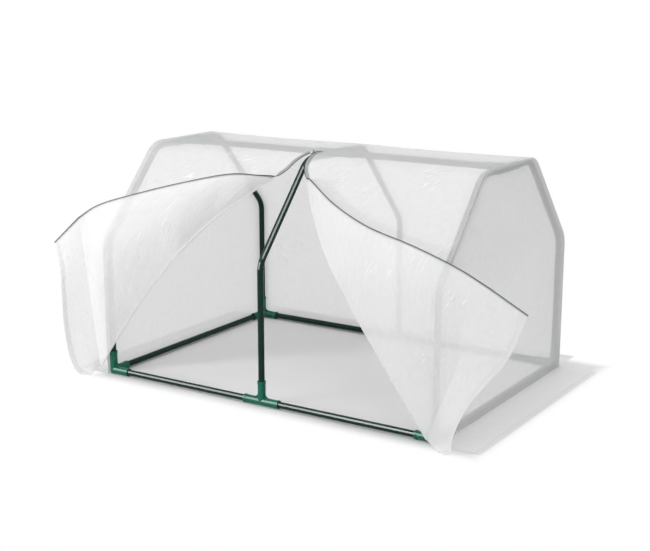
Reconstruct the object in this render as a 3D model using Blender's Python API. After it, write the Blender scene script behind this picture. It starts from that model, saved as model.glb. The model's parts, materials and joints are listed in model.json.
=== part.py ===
"""A mini greenhouse: three bent tube hoops on a tube base, plastic fittings and a zipped cloth cover.

Units are metres, +Z is up, the long side runs along X and the zipped front faces -Y.
The front stands open: both door flaps are folded back along a slant from the top of the zip.
"""

from math import atan2, cos, hypot, pi, radians, sin, tan

import bmesh
import bpy
from mathutils import Matrix, Vector

# Frame, between tube axes
FRAME_LENGTH = 0.966
FRAME_WIDTH = 0.686
KNEE_HEIGHT = 0.347
FRAME_HEIGHT = 0.577
ROOF_WIDTH = 0.272
KNEE_RADIUS = 0.055
ROOF_RADIUS = 0.060
TUBE_DIAMETER = 0.016
TUBE_WALL = 0.0006

# Plastic fittings
FIT = 0.0003
ARM_LENGTH = 0.052
ARM_WALL = 0.0018
SOCKET_DEPTH = 0.040
COLLAR_LENGTH = 0.006
COLLAR_RISE = 0.0008
WEB_RADIUS = 0.014
WEB_THICKNESS = 0.003
WEB_SEAT = 0.0006

# Cover
CLOTH = 0.001
SKIRT_WIDTH = 0.105
ROLL_RADIUS = 0.008
ROLL_TIP_RADIUS = 0.003
SEAM_GAP = 0.0006
KNEE_GAP = 0.0008
ZIP_HALF_GAP = 0.0035
TAPE_WIDTH = 0.004
TAPE_THICKNESS = 0.0014
TAPE_SETBACK = 0.0004
CHAIN_WIDTH = 0.008
CHAIN_LENGTH = 0.030

# Zip slider and its pull
SLIDER_WIDTH = 0.010
SLIDER_LENGTH = 0.014
SLIDER_THICKNESS = 0.0032
SLIDER_LIFT = 0.0014
SLIDER_BEVEL = 0.0003
BRIDGE_WIDTH = 0.0020
BRIDGE_LENGTH = 0.0090
BRIDGE_HEIGHT = 0.0042
BRIDGE_BAR = 0.0013
PULL_WIDTH = 0.0070
PULL_LENGTH = 0.0240
PULL_THICKNESS = 0.0012
PULL_BAR = 0.0014
PULL_WINDOW = 0.0070

# Each door folds along a straight line on the front laid flat, from the ground to the turn of its zip edge.
# The line starts foot_out beyond the end hoop and ends turn_x from the middle, TURN_DROP below the roof edge.
# From that turn up to the roof the fixed front's edge runs in a curve, root_x from the middle at each quarter.
# The door swells outwards, most at its lower third, from a straight seam with the ground strip.
TURN_DROP = 0.107
BULGE_TILT = Vector((0, -0.95, 0.31))
BULGE_LEAD = 0.25
BULGE_RISE = 0.2
BULGE_POWER = 1.5
DOORS = {
    "left": {
        "side": -1,
        "foot_out": 0.050,
        "turn_x": 0.065,
        "root_x": (0.0385, 0.0246, 0.0125),
        "foot_s": 0.022,
        "bulge": 0.034,
        # Free zip edge, from the seam of the ground strip up to the turn, each point as
        # (share of the way up to the turn, share of the half length, metres off the front)
        "zip_edge": [
            (0.638, 1.118, 0.067),
            (0.698, 0.998, 0.080),
            (0.775, 0.774, 0.082),
            (0.860, 0.538, 0.073),
            (0.932, 0.306, 0.062),
            (0.965, 0.166, 0.040),
        ],
        # Hem of the ground strip, from the ground up to the free corner, given the same way
        "hem": [
            (0.002, 1.077, 0.037),
            (0.010, 1.149, 0.050),
            (0.083, 1.190, 0.058),
            (0.217, 1.205, 0.066),
            (0.367, 1.205, 0.069),
            (0.492, 1.217, 0.065),
            (0.577, 1.265, 0.056),
        ],
    },
    "right": {
        "side": 1,
        "foot_out": 0.0,
        "turn_x": 0.045,
        "root_x": (0.0219, 0.0126, 0.0105),
        "foot_s": 0.012,
        "bulge": 0.014,
        "zip_edge": [
            (0.620, 1.277, 0.019),
            (0.667, 1.101, 0.032),
            (0.728, 0.853, 0.038),
            (0.797, 0.559, 0.028),
            (0.887, 0.315, 0.022),
            (0.985, 0.128, 0.022),
        ],
        "hem": [
            (0.002, 1.077, 0.041),
            (0.010, 1.135, 0.045),
            (0.083, 1.147, 0.039),
            (0.193, 1.201, 0.028),
            (0.290, 1.284, 0.015),
            (0.388, 1.371, 0.003),
            (0.553, 1.449, -0.003),
        ],
    },
}

# Mesh detail
WELD = 0.00002
TUBE_SIDES = 12
FITTING_SIDES = 12
WEB_STEPS = 3
BEND_STEPS = 5
ROLL_STEPS = 4
DOOR_ROWS = 8
TOP_ROWS = 5
ROOT_ROWS = 5
DOOR_COLUMNS = 6
HEM_ROWS = 10
HEM_COLUMNS = 3
PROBE = 0.002
FLAT_ANGLE = radians(1)
TUBE_SMOOTH = 50
FITTING_SMOOTH = 40
CLOTH_SMOOTH = 60

# Worked out from the sizes above
TUBE_R = TUBE_DIAMETER / 2
SOCKET_R = TUBE_R + FIT
ARM_R = SOCKET_R + ARM_WALL
COLLAR_R = ARM_R + COLLAR_RISE
BASE_Z = COLLAR_R
TUBE_START = ARM_LENGTH - SOCKET_DEPTH + FIT
COVER_MID = COLLAR_R + FIT + CLOTH / 2
COVER_OUT = COVER_MID + CLOTH / 2
WALL_X = FRAME_LENGTH / 2 + COVER_MID
SHEET_X = WALL_X - CLOTH / 2 - FIT
RISE = FRAME_HEIGHT - KNEE_HEIGHT
RUN = (FRAME_WIDTH - ROOF_WIDTH) / 2
SLANT = hypot(RISE, RUN)
ROOF_TURN = atan2(RISE, RUN)


def clear_scene():
    for old in list(bpy.data.objects):
        bpy.data.objects.remove(old, do_unlink=True)


def material(name, colour, roughness, metallic=0.0, alpha=1.0):
    made = bpy.data.materials.new(name)
    made.use_nodes = True
    shader = made.node_tree.nodes["Principled BSDF"]
    shader.inputs["Base Color"].default_value = (*colour, 1.0)
    shader.inputs["Roughness"].default_value = roughness
    shader.inputs["Metallic"].default_value = metallic
    shader.inputs["Alpha"].default_value = alpha
    return made


def add_object(name, mesh, finish, parent, smooth=0):
    """A new object, shaded smooth across edges of up to that many degrees."""
    mesh.materials.clear()
    mesh.materials.append(finish)
    if smooth:
        mesh.shade_smooth()
        mesh.set_sharp_from_angle(angle=radians(smooth))
    obj = bpy.data.objects.new(name, mesh)
    bpy.context.scene.collection.objects.link(obj)
    if parent:
        hang(obj, parent)
    return obj


def hang(obj, parent):
    """Parent obj while it keeps its place: meshes here are drawn in the house's own frame."""
    obj.parent = parent
    obj.matrix_parent_inverse = world_of(parent).inverted()


def world_of(obj):
    own = obj.matrix_basis
    if obj.parent:
        return world_of(obj.parent) @ obj.matrix_parent_inverse @ own
    return own


def add_empty(name, point, direction, parent):
    """An empty on a joint's axis: its Z runs along the axis."""
    empty = bpy.data.objects.new(name, None)
    bpy.context.scene.collection.objects.link(empty)
    turn = direction.to_track_quat("Z", "Y").to_matrix().to_4x4()
    hang(empty, parent)
    empty.matrix_basis = Matrix.Translation(point) @ turn
    return empty


# Lines and paths


def fractions(start, end, steps):
    return [start + (end - start) * k / steps for k in range(steps + 1)]


def rounded_path(corners, radii, steps=BEND_STEPS):
    """Straight runs through the corners, with each inner corner rounded by an arc."""
    points = [Vector(corners[0])]
    for i, radius in enumerate(radii, start=1):
        corner = Vector(corners[i])
        back = (Vector(corners[i - 1]) - corner).normalized()
        ahead = (Vector(corners[i + 1]) - corner).normalized()
        half = back.angle(ahead) / 2
        centre = corner + (back + ahead).normalized() * radius / sin(half)
        start = corner + back * radius / tan(half) - centre
        axis = back.cross(ahead)
        for k in range(steps + 1):
            turn = Matrix.Rotation(-(pi - 2 * half) * k / steps, 3, axis)
            points.append(centre + turn @ start)
    points.append(Vector(corners[-1]))
    return points


def half_hoop_corners(offset):
    """Foot, knee and roof corners of the front half hoop, moved outwards by offset."""
    knee_y = FRAME_WIDTH / 2 + offset
    knee_z = BASE_Z + KNEE_HEIGHT + offset * (SLANT - RISE) / RUN
    roof_y = ROOF_WIDTH / 2 + offset * (SLANT - RUN) / RISE
    roof_z = BASE_Z + FRAME_HEIGHT + offset
    return [(0, -knee_y, 0), (0, -knee_y, knee_z), (0, -roof_y, roof_z)]


def cover_line(offset):
    """The rounded outline of the whole house in the YZ plane, from the front foot to the rear foot."""
    front = half_hoop_corners(offset)
    rear = [(0, -y, z) for _, y, z in reversed(front)]
    knee = KNEE_RADIUS + offset
    roof = ROOF_RADIUS + offset
    return rounded_path(front + rear, [knee, roof, roof, knee])


COVER_LINE = cover_line(COVER_MID)


def length_to(index):
    return sum((b - a).length for a, b in zip(COVER_LINE[:index], COVER_LINE[1:]))


# Distances along the cover from the front ground line
MARKS = [length_to(i) for i in range(len(COVER_LINE))]
KNEE_START_S = MARKS[1]
KNEE_S = (MARKS[1] + MARKS[1 + BEND_STEPS]) / 2
EDGE_S = MARKS[2 + 2 * BEND_STEPS]
TURN_S = EDGE_S - TURN_DROP
COVER_S = MARKS[-1]


def marks_between(start, end, steps=1):
    """Distances along the cover from start to end: all its bend points and about this many even steps."""
    bends = [mark for mark in MARKS if start < mark < end]
    spacing = (end - start) / steps / 2
    even = fractions(start, end, steps)[1:-1]
    even = [s for s in even if all(abs(s - mark) > spacing for mark in bends)]
    return sorted([start, *bends, *even, end])


def on_cover(s, x=0.0, lift=0.0):
    """The point at distance s along the cover, at x, lifted along the outward normal."""
    rest = s
    for a, b in zip(COVER_LINE, COVER_LINE[1:]):
        step = (b - a).length
        if rest <= step or b is COVER_LINE[-1]:
            break
        rest -= step
    along = (b - a) / step
    outward = Vector((0, -along.z, along.y))
    return a + along * rest + outward * lift + Vector((x, 0, 0))


def outward_at(s):
    return (on_cover(s, lift=1.0) - on_cover(s)).normalized()


def curve_through(points, t):
    """A smooth curve through the points, t from 0 at the first to 1 at the last."""
    knots = [Vector(p) for p in points]
    knots = [2 * knots[0] - knots[1]] + knots + [2 * knots[-1] - knots[-2]]
    spans = len(points) - 1
    span = min(int(t * spans), spans - 1)
    u = t * spans - span
    p0, p1, p2, p3 = knots[span : span + 4]
    tangent_in = (p2 - p0) / 2
    tangent_out = (p3 - p1) / 2
    ends = p1 * (2 * u**3 - 3 * u**2 + 1) + p2 * (3 * u**2 - 2 * u**3)
    return ends + tangent_in * (u**3 - 2 * u**2 + u) + tangent_out * (u**3 - u**2)


# Solids


def tube(name, path, finish, parent):
    """A hollow tube along the path, open at both ends."""
    bm = bmesh.new()
    shells = []
    for radius in (TUBE_R, TUBE_R - TUBE_WALL):
        rings = []
        for i, point in enumerate(path):
            before = path[max(i - 1, 0)]
            after = path[min(i + 1, len(path) - 1)]
            along = (after - before).normalized()
            side = Vector((0, 0, 1)) if abs(along.x) > 0.5 else Vector((1, 0, 0))
            other = along.cross(side)
            ring = []
            for k in range(TUBE_SIDES):
                angle = 2 * pi * (k + 0.5) / TUBE_SIDES
                ring.append(bm.verts.new(point + radius * (cos(angle) * side + sin(angle) * other)))
            rings.append(ring)
        shells.append(rings)
    outer, inner = shells
    for i in range(len(path) - 1):
        for k in range(TUBE_SIDES):
            n = (k + 1) % TUBE_SIDES
            bm.faces.new((outer[i][k], outer[i][n], outer[i + 1][n], outer[i + 1][k]))
            bm.faces.new((inner[i][n], inner[i][k], inner[i + 1][k], inner[i + 1][n]))
    for k in range(TUBE_SIDES):
        n = (k + 1) % TUBE_SIDES
        bm.faces.new((outer[0][n], outer[0][k], inner[0][k], inner[0][n]))
        bm.faces.new((outer[-1][k], outer[-1][n], inner[-1][n], inner[-1][k]))
    bmesh.ops.recalc_face_normals(bm, faces=bm.faces)
    mesh = bpy.data.meshes.new(name)
    bm.to_mesh(mesh)
    bm.free()
    return add_object(name, mesh, finish, parent, TUBE_SMOOTH)


def sheet(name, rows, thickness, finish, parent):
    """Cloth laid over a grid of points, thickened to both sides."""
    bm = bmesh.new()
    grid = [[bm.verts.new(point) for point in row] for row in rows]
    for lower, upper in zip(grid, grid[1:]):
        for k in range(len(lower) - 1):
            bm.faces.new((lower[k], lower[k + 1], upper[k + 1], upper[k]))
    mesh = bpy.data.meshes.new(name)
    bm.to_mesh(mesh)
    bm.free()
    obj = add_object(name, mesh, finish, parent, CLOTH_SMOOTH)
    thicken(obj, thickness)
    return obj


def thicken(obj, thickness):
    solid = obj.modifiers.new("cloth", "SOLIDIFY")
    solid.thickness = thickness
    solid.offset = 0
    solid.use_even_offset = True
    solid.use_quality_normals = True


def round_bar(start, end, radius, sides=FITTING_SIDES):
    """Mesh of a capped round bar between two points."""
    bm = bmesh.new()
    along = end - start
    turn = along.to_track_quat("Z", "Y").to_matrix().to_4x4() @ Matrix.Rotation(pi / sides, 4, "Z")
    place = Matrix.Translation((start + end) / 2) @ turn
    bmesh.ops.create_cone(
        bm, cap_ends=True, segments=sides, radius1=radius, radius2=radius, depth=along.length, matrix=place
    )
    return finish_mesh(bm)


def block(size, centre):
    bm = bmesh.new()
    bmesh.ops.create_cube(bm, size=1, matrix=Matrix.Translation(centre) @ Matrix.Diagonal((*size, 1)))
    return finish_mesh(bm)


def finish_mesh(bm):
    mesh = bpy.data.meshes.new("form")
    bm.to_mesh(mesh)
    bm.free()
    return mesh


def weld(mesh):
    """Join points that a union left side by side, and flat neighbouring faces."""
    bm = bmesh.new()
    bm.from_mesh(mesh)
    bmesh.ops.remove_doubles(bm, verts=bm.verts, dist=WELD)
    bmesh.ops.dissolve_degenerate(bm, edges=bm.edges, dist=WELD)
    bmesh.ops.dissolve_limit(bm, angle_limit=FLAT_ANGLE, verts=bm.verts, edges=bm.edges)
    bm.to_mesh(mesh)
    bm.free()


def fused(solids, cuts):
    """One mesh: the union of the solids, less the cuts."""
    base = bpy.data.objects.new("form", solids[0])
    bpy.context.scene.collection.objects.link(base)
    helpers = []
    for operation, meshes in (("UNION", solids[1:]), ("DIFFERENCE", cuts)):
        for mesh in meshes:
            helper = bpy.data.objects.new("helper", mesh)
            bpy.context.scene.collection.objects.link(helper)
            step = base.modifiers.new(operation.lower(), "BOOLEAN")
            step.operation = operation
            step.solver = "MANIFOLD"
            step.object = helper
            helpers.append(helper)
    graph = bpy.context.evaluated_depsgraph_get()
    mesh = bpy.data.meshes.new_from_object(base.evaluated_get(graph))
    weld(mesh)
    for used in [base, *helpers]:
        bpy.data.objects.remove(used, do_unlink=True)
    return mesh


# Fittings


def web(first, second):
    """The moulded gusset between two arms at a right angle, with a hollow curved edge."""
    centre = ARM_R - WEB_SEAT + WEB_RADIUS
    inside = ARM_R / 2
    outline = [(inside, inside), (centre, inside)]
    for k in range(WEB_STEPS + 1):
        angle = pi / 2 * k / WEB_STEPS
        outline.append((centre - WEB_RADIUS * sin(angle), centre - WEB_RADIUS * cos(angle)))
    outline.append((inside, centre))
    across = first.cross(second) * WEB_THICKNESS / 2
    bm = bmesh.new()
    faces = []
    for shift in (-across, across):
        faces.append([bm.verts.new(first * a + second * b + shift) for a, b in outline])
    bm.faces.new(faces[0])
    bm.faces.new(reversed(faces[1]))
    count = len(outline)
    for k in range(count):
        n = (k + 1) % count
        bm.faces.new((faces[0][n], faces[0][k], faces[1][k], faces[1][n]))
    bmesh.ops.recalc_face_normals(bm, faces=bm.faces)
    return finish_mesh(bm)


def fitting_mesh(arms):
    """A moulded tube fitting with an open socket, a collar and gussets for its arms."""
    arms = [Vector(arm) for arm in arms]
    solids = []
    for arm in arms:
        opposite = -arm in arms
        if opposite and -arm in arms[: arms.index(arm)]:
            continue
        reach = ARM_LENGTH - COLLAR_LENGTH / 2
        start = -arm * (reach if opposite else ARM_R / 2)
        solids.append(round_bar(start, arm * reach, ARM_R))
    ball = bmesh.new()
    bmesh.ops.create_icosphere(ball, subdivisions=2, radius=ARM_R + FIT)
    solids.append(finish_mesh(ball))
    for i, first in enumerate(arms):
        for second in arms[i + 1 :]:
            if first.dot(second) == 0:
                solids.append(web(first, second))
    for arm in arms:
        solids.append(round_bar(arm * (ARM_LENGTH - COLLAR_LENGTH), arm * ARM_LENGTH, COLLAR_R))
    bore = SOCKET_R / cos(pi / FITTING_SIDES)
    cuts = []
    for arm in arms:
        cuts.append(round_bar(arm * (ARM_LENGTH - SOCKET_DEPTH), arm * (ARM_LENGTH + COLLAR_LENGTH), bore))
    return fused(solids, cuts)


def add_fittings(finish, house):
    x = FRAME_LENGTH / 2
    y = FRAME_WIDTH / 2
    top = BASE_Z + FRAME_HEIGHT
    corner = fitting_mesh([(1, 0, 0), (0, 1, 0), (0, 0, 1)])
    base_tee = fitting_mesh([(1, 0, 0), (-1, 0, 0), (0, 0, 1)])
    ridge_tee = fitting_mesh([(0, 1, 0), (0, -1, 0), (1, 0, 0)])
    ridge_cross = fitting_mesh([(0, 1, 0), (0, -1, 0), (1, 0, 0), (-1, 0, 0)])
    places = [
        ("corner_joint_front_left", corner, (-x, -y, BASE_Z), 0),
        ("corner_joint_front_right", corner, (x, -y, BASE_Z), 90),
        ("corner_joint_rear_right", corner, (x, y, BASE_Z), 180),
        ("corner_joint_rear_left", corner, (-x, y, BASE_Z), 270),
        ("base_tee_front", base_tee, (0, -y, BASE_Z), 0),
        ("base_tee_rear", base_tee, (0, y, BASE_Z), 180),
        ("ridge_tee_left", ridge_tee, (-x, 0, top), 0),
        ("ridge_tee_right", ridge_tee, (x, 0, top), 180),
        ("ridge_cross", ridge_cross, (0, 0, top), 0),
    ]
    for name, mesh, centre, turn in places:
        obj = add_object(name, mesh, finish, None, FITTING_SMOOTH)
        obj.location = centre
        obj.rotation_euler.z = radians(turn)
        hang(obj, house)


# Tubes


def add_tubes(finish, house):
    top = BASE_Z + FRAME_HEIGHT
    y = FRAME_WIDTH / 2
    corners = half_hoop_corners(0)
    corners[0] = (0, -y, BASE_Z + TUBE_START)
    corners.append((0, -TUBE_START, top))
    half = rounded_path(corners, [KNEE_RADIUS, ROOF_RADIUS])
    hoops = {"left": -FRAME_LENGTH / 2, "mid": 0.0, "right": FRAME_LENGTH / 2}
    for place, x in hoops.items():
        for end, side in (("front", 1), ("rear", -1)):
            path = [Vector((x, side * p.y, p.z)) for p in half]
            tube(f"arch_{place}_{end}", path, finish, house)
    for hand, side in (("left", -1), ("right", 1)):
        near = side * TUBE_START
        far = side * (FRAME_LENGTH / 2 - TUBE_START)
        for end, depth in (("front", -y), ("rear", y)):
            path = [Vector((near, depth, BASE_Z)), Vector((far, depth, BASE_Z))]
            tube(f"base_tube_{end}_{hand}", path, finish, house)
        tube(f"ridge_tube_{hand}", [Vector((near, 0, top)), Vector((far, 0, top))], finish, house)
        end_x = side * FRAME_LENGTH / 2
        path = [Vector((end_x, TUBE_START - y, BASE_Z)), Vector((end_x, y - TUBE_START, BASE_Z))]
        tube(f"base_tube_{hand}_end", path, finish, house)


# Doors: a smooth surface from the fold line to the free zip edge


def foot_x(door):
    return FRAME_LENGTH / 2 + door["foot_out"]


def fold_x(door, s):
    return foot_x(door) + (door["turn_x"] - foot_x(door)) * s / TURN_S


def door_points(door, edge):
    """The chosen points of an edge of the door, as places in the house's frame."""
    half = door["side"] * FRAME_LENGTH / 2
    return [on_cover(up * TURN_S, out * half, off) for up, out, off in door[edge]]


def roll_radius(s):
    """The soft roll at the fold keeps its size up to the knee and tapers towards the turn."""
    taper = max(0.0, (s - KNEE_S) / (TURN_S - KNEE_S))
    return ROLL_RADIUS + (ROLL_TIP_RADIUS - ROLL_RADIUS) * taper


def roll_centre(door, s):
    return on_cover(s, door["side"] * fold_x(door, s), CLOTH + FIT + roll_radius(s))


def door_row(door, s):
    """One row of the door: round the roll at distance s up the fold, then out to the free zip edge."""
    v = (s - door["foot_s"]) / (TURN_S - door["foot_s"])
    outward = outward_at(s)
    centre = roll_centre(door, s)
    along = (roll_centre(door, s + PROBE) - roll_centre(door, s - PROBE)).normalized()
    inward = outward.cross(along).normalized()
    inward *= -1 if inward.x * door["side"] > 0 else 1
    radius = roll_radius(s)
    row = []
    for k in range(ROLL_STEPS):
        angle = pi * k / ROLL_STEPS
        row.append(centre + radius * (inward * sin(angle) - outward * cos(angle)))
    near = centre + outward * radius
    far = curve_through(door_points(door, "zip_edge"), v)
    swell = door["bulge"] * sin(pi * min(v + BULGE_LEAD, 1.0)) * sin(pi / 2 * min(v / BULGE_RISE, 1.0))
    for u in fractions(0, 1, DOOR_COLUMNS):
        row.append(near.lerp(far, u) + BULGE_TILT * swell * sin(pi * u) ** BULGE_POWER)
    return row


def hem_line(door, u):
    """One line along the ground strip, at share u of the way from its seam with the door to its hem."""
    seam_start = door_row(door, door["foot_s"])[ROLL_STEPS]
    seam_end = door_points(door, "zip_edge")[0]
    line = []
    for w in fractions(0, 1, HEM_ROWS):
        near = seam_start.lerp(seam_end, w)
        line.append(near.lerp(curve_through(door_points(door, "hem"), w), u))
    return line


def set_back(rows, end, gap):
    """Move the first row (end 0) or the last (end -1) in from its seam, until it stands gap away."""
    edge = rows[end]
    inner = rows[1] if end == 0 else rows[-2]
    along = (edge[-1] - edge[0]).normalized()
    moved = []
    for point, inner_point in zip(edge, inner):
        inward = inner_point - point
        across = (inward - along * inward.dot(along)).length
        moved.append(point + inward * gap / across)
    rows[end] = moved


def tape_rows(cloth_rows):
    """The zip tape beside the last point of each cloth row, set back at its ends."""
    rows = []
    for row in cloth_rows:
        across = (row[-1] - row[-2]).normalized()
        rows.append([row[-1] + across * FIT, row[-1] + across * (FIT + TAPE_WIDTH)])
    set_back(rows, 0, TAPE_SETBACK)
    set_back(rows, -1, TAPE_SETBACK)
    return rows


def root_x(door, s):
    """Distance from the middle of the fixed front's edge, between the turn and the roof."""
    top = ZIP_HALF_GAP + TAPE_WIDTH + FIT
    edge = [(x, 0) for x in (door["turn_x"], *door["root_x"], top)]
    return curve_through(edge, (s - TURN_S) / (EDGE_S - TURN_S)).x


def front_row(door, s):
    """One row of the fixed part of the front, from the end wall in to the fold or to the zip."""
    inner = fold_x(door, s) if s <= TURN_S else root_x(door, s)
    return [on_cover(s, door["side"] * x) for x in (SHEET_X, (SHEET_X + inner) / 2, inner)]


def add_door(name, door, cloth, tape, house):
    slope = (foot_x(door) - door["turn_x"]) / TURN_S
    start_s = max(FIT, (foot_x(door) - SHEET_X) / slope + TAPE_WIDTH)

    lower_rows = [front_row(door, s) for s in marks_between(start_s, TURN_S)]
    root_rows = [front_row(door, s) for s in marks_between(TURN_S, EDGE_S, ROOT_ROWS)]
    sheet(f"front_sheet_{name}", lower_rows + root_rows[1:], CLOTH, cloth, house)
    sheet(f"zip_tape_{name}_root", tape_rows(root_rows), TAPE_THICKNESS, tape, house)

    top_rows = [door_row(door, s) for s in marks_between(KNEE_S, TURN_S, TOP_ROWS)]
    set_back(top_rows, 0, KNEE_GAP)
    sheet(f"door_top_{name}", top_rows, CLOTH, cloth, house)
    sheet(f"zip_tape_{name}_top", tape_rows(top_rows), TAPE_THICKNESS, tape, house)

    low = roll_centre(door, 0)
    high = roll_centre(door, KNEE_START_S)
    fold = add_empty(f"door_{name}_fold", low, (high - low) * -door["side"], house)
    door_rows = [door_row(door, s) for s in marks_between(door["foot_s"], KNEE_S, DOOR_ROWS)]
    set_back(door_rows, 0, SEAM_GAP)
    set_back(door_rows, -1, KNEE_GAP)
    sheet(f"door_flap_{name}", door_rows, CLOTH, cloth, fold)
    sheet(f"zip_tape_{name}_door", tape_rows(door_rows), TAPE_THICKNESS, tape, fold)

    seam_start = door_row(door, door["foot_s"])[ROLL_STEPS]
    seam_end = door_points(door, "zip_edge")[0]
    seam = add_empty(f"hem_{name}_seam", seam_start, (seam_end - seam_start) * door["side"], fold)
    hem_lines = [hem_line(door, u) for u in fractions(0, 1, HEM_COLUMNS)]
    set_back(hem_lines, 0, FIT)
    sheet(f"door_hem_{name}", hem_lines, CLOTH, cloth, seam)
    sheet(f"zip_tape_{name}_hem", tape_rows(hem_lines), TAPE_THICKNESS, tape, seam)


# The rest of the cover


def add_cover(cloth, house):
    rows = []
    for s in marks_between(EDGE_S + FIT, COVER_S - FIT):
        rows.append([on_cover(s, x) for x in (-SHEET_X, 0, SHEET_X)])
    sheet("roof_and_rear_sheet", rows, CLOTH, cloth, house)

    outline = cover_line(COVER_OUT)
    for name, side in (("left", -1), ("right", 1)):
        bm = bmesh.new()
        bm.faces.new([bm.verts.new((side * WALL_X, p.y, max(p.z, FIT))) for p in outline])
        wall = add_object(f"end_wall_{name}", finish_mesh(bm), cloth, house)
        thicken(wall, CLOTH)

    front_y = -FRAME_WIDTH / 2 - COVER_OUT
    rear_y = FRAME_WIDTH / 2 + COVER_OUT + FIT
    wall_out = WALL_X + CLOTH / 2 + FIT
    skirts = {
        "left": (-wall_out - SKIRT_WIDTH, -wall_out, front_y, rear_y - FIT),
        "right": (wall_out, wall_out + SKIRT_WIDTH, front_y, rear_y - FIT),
        "rear": (-wall_out, wall_out, rear_y, rear_y + SKIRT_WIDTH),
    }
    for name, (x0, x1, y0, y1) in skirts.items():
        flat = block((x1 - x0, y1 - y0, CLOTH), ((x0 + x1) / 2, (y0 + y1) / 2, CLOTH / 2))
        add_object(f"ground_skirt_{name}", flat, cloth, house)


# Zip: the closed chain on the roof, the slider and its pull


def add_zip(tape, metal, house):
    gap = SLIDER_LENGTH / 2 + FIT
    lift = CLOTH / 2 + FIT + TAPE_THICKNESS / 2
    half = CHAIN_WIDTH / 2
    rows = []
    for s in fractions(EDGE_S + gap, EDGE_S + gap + CHAIN_LENGTH, 2):
        rows.append([on_cover(s, x, lift) for x in (-half, half)])
    sheet("zip_chain_top", rows, TAPE_THICKNESS, tape, house)

    roof = half_hoop_corners(0)[2]
    bend_y = -ROOF_WIDTH / 2 + ROOF_RADIUS * tan(ROOF_TURN / 2)
    bend_centre = Vector((0, bend_y, roof[2] - ROOF_RADIUS))
    carrier = add_empty("zip_slider_bend", bend_centre, Vector((1, 0, 0)), house)

    seat = on_cover(EDGE_S, 0, SLIDER_LIFT)
    body = block((SLIDER_WIDTH, SLIDER_LENGTH, SLIDER_THICKNESS), Vector((0, 0, SLIDER_THICKNESS / 2)))
    bridge = block(
        (BRIDGE_WIDTH, BRIDGE_LENGTH, BRIDGE_HEIGHT),
        Vector((0, 0, SLIDER_THICKNESS + BRIDGE_HEIGHT / 2 - FIT)),
    )
    hollow = block(
        (BRIDGE_WIDTH * 2, BRIDGE_LENGTH - 2 * BRIDGE_BAR, BRIDGE_HEIGHT - BRIDGE_BAR),
        Vector((0, 0, SLIDER_THICKNESS + (BRIDGE_HEIGHT - BRIDGE_BAR) / 2)),
    )
    mesh = fused([body, bridge], [hollow])
    mesh.transform(Matrix.Translation(seat))
    slider = add_object("zip_slider", mesh, metal, carrier)
    edges = slider.modifiers.new("edges", "BEVEL")
    edges.width = SLIDER_BEVEL
    edges.segments = 1

    axle = seat + Vector((0, 0, SLIDER_THICKNESS + (BRIDGE_HEIGHT - BRIDGE_BAR) / 2))
    hinge = add_empty("zip_pull_hinge", axle, Vector((1, 0, 0)), carrier)
    plate = block(
        (PULL_WIDTH, PULL_LENGTH, PULL_THICKNESS),
        Vector((0, PULL_BAR / 2 - PULL_LENGTH / 2, 0)),
    )
    window = block(
        (PULL_WIDTH - 2 * PULL_BAR, PULL_WINDOW, 2 * PULL_THICKNESS),
        Vector((0, -PULL_BAR / 2 - PULL_WINDOW / 2, 0)),
    )
    mesh = fused([plate], [window])
    mesh.transform(Matrix.Translation(axle))
    add_object("zip_pull", mesh, metal, hinge)


def centre_on_ground(house):
    """Move the house so that the middle of its box's underside is the origin."""
    graph = bpy.context.evaluated_depsgraph_get()
    points = []
    for obj in bpy.context.scene.objects:
        if obj.type == "MESH":
            shape = obj.evaluated_get(graph)
            points += [shape.matrix_world @ Vector(corner) for corner in shape.bound_box]
    low = Vector([min(p[i] for p in points) for i in range(3)])
    high = Vector([max(p[i] for p in points) for i in range(3)])
    house.location = (-(low.x + high.x) / 2, -(low.y + high.y) / 2, -low.z)
    bpy.context.view_layer.update()
    print("box", tuple(round(v, 5) for v in high - low))
    print("house at", tuple(round(v, 5) for v in house.location))


def report_joints():
    for obj in bpy.context.scene.objects:
        if obj.type == "EMPTY" and obj.parent:
            place = obj.matrix_world
            axis = place.to_3x3() @ Vector((0, 0, 1))
            print(obj.name, tuple(round(v, 5) for v in place.translation), tuple(round(v, 5) for v in axis))


def main():
    clear_scene()
    steel = material("green_coated_steel", (0.012, 0.040, 0.033), 0.35, 0.3)
    plastic = material("green_plastic", (0.020, 0.160, 0.110), 0.35)
    cloth = material("clear_woven_cover", (0.80, 0.82, 0.82), 0.4, alpha=0.85)
    tape = material("zip_tape", (0.10, 0.14, 0.13), 0.8)
    metal = material("zip_metal", (0.35, 0.37, 0.37), 0.35, 0.9)
    house = bpy.data.objects.new("greenhouse", None)
    bpy.context.scene.collection.objects.link(house)
    add_tubes(steel, house)
    add_fittings(plastic, house)
    add_cover(cloth, house)
    for name, door in DOORS.items():
        add_door(name, door, cloth, tape, house)
    add_zip(tape, metal, house)
    bpy.context.view_layer.update()
    centre_on_ground(house)
    report_joints()


main()
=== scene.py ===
# %% [markdown]
# # Mini greenhouse: tube frame, moulded fittings and a zipped film cover
# A low plant house for a bed or a terrace. Three bent hoops of green coated steel tube stand on a tube base,
# held by moulded plastic fittings, under a white woven film cover. The cover has a zip up the middle of its
# front, and both halves of the front are folded back.
#
# This script dresses the finished frame: the tubes and fittings keep their solids and get their coating, and
# each cloth piece is drawn again as thin film with its crinkle, hems and zip teeth.

# %% Load the frame
import json
from math import cos, exp, hypot, pi, radians, sin, tan

import bpy
from mathutils import Matrix, Vector, noise


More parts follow.
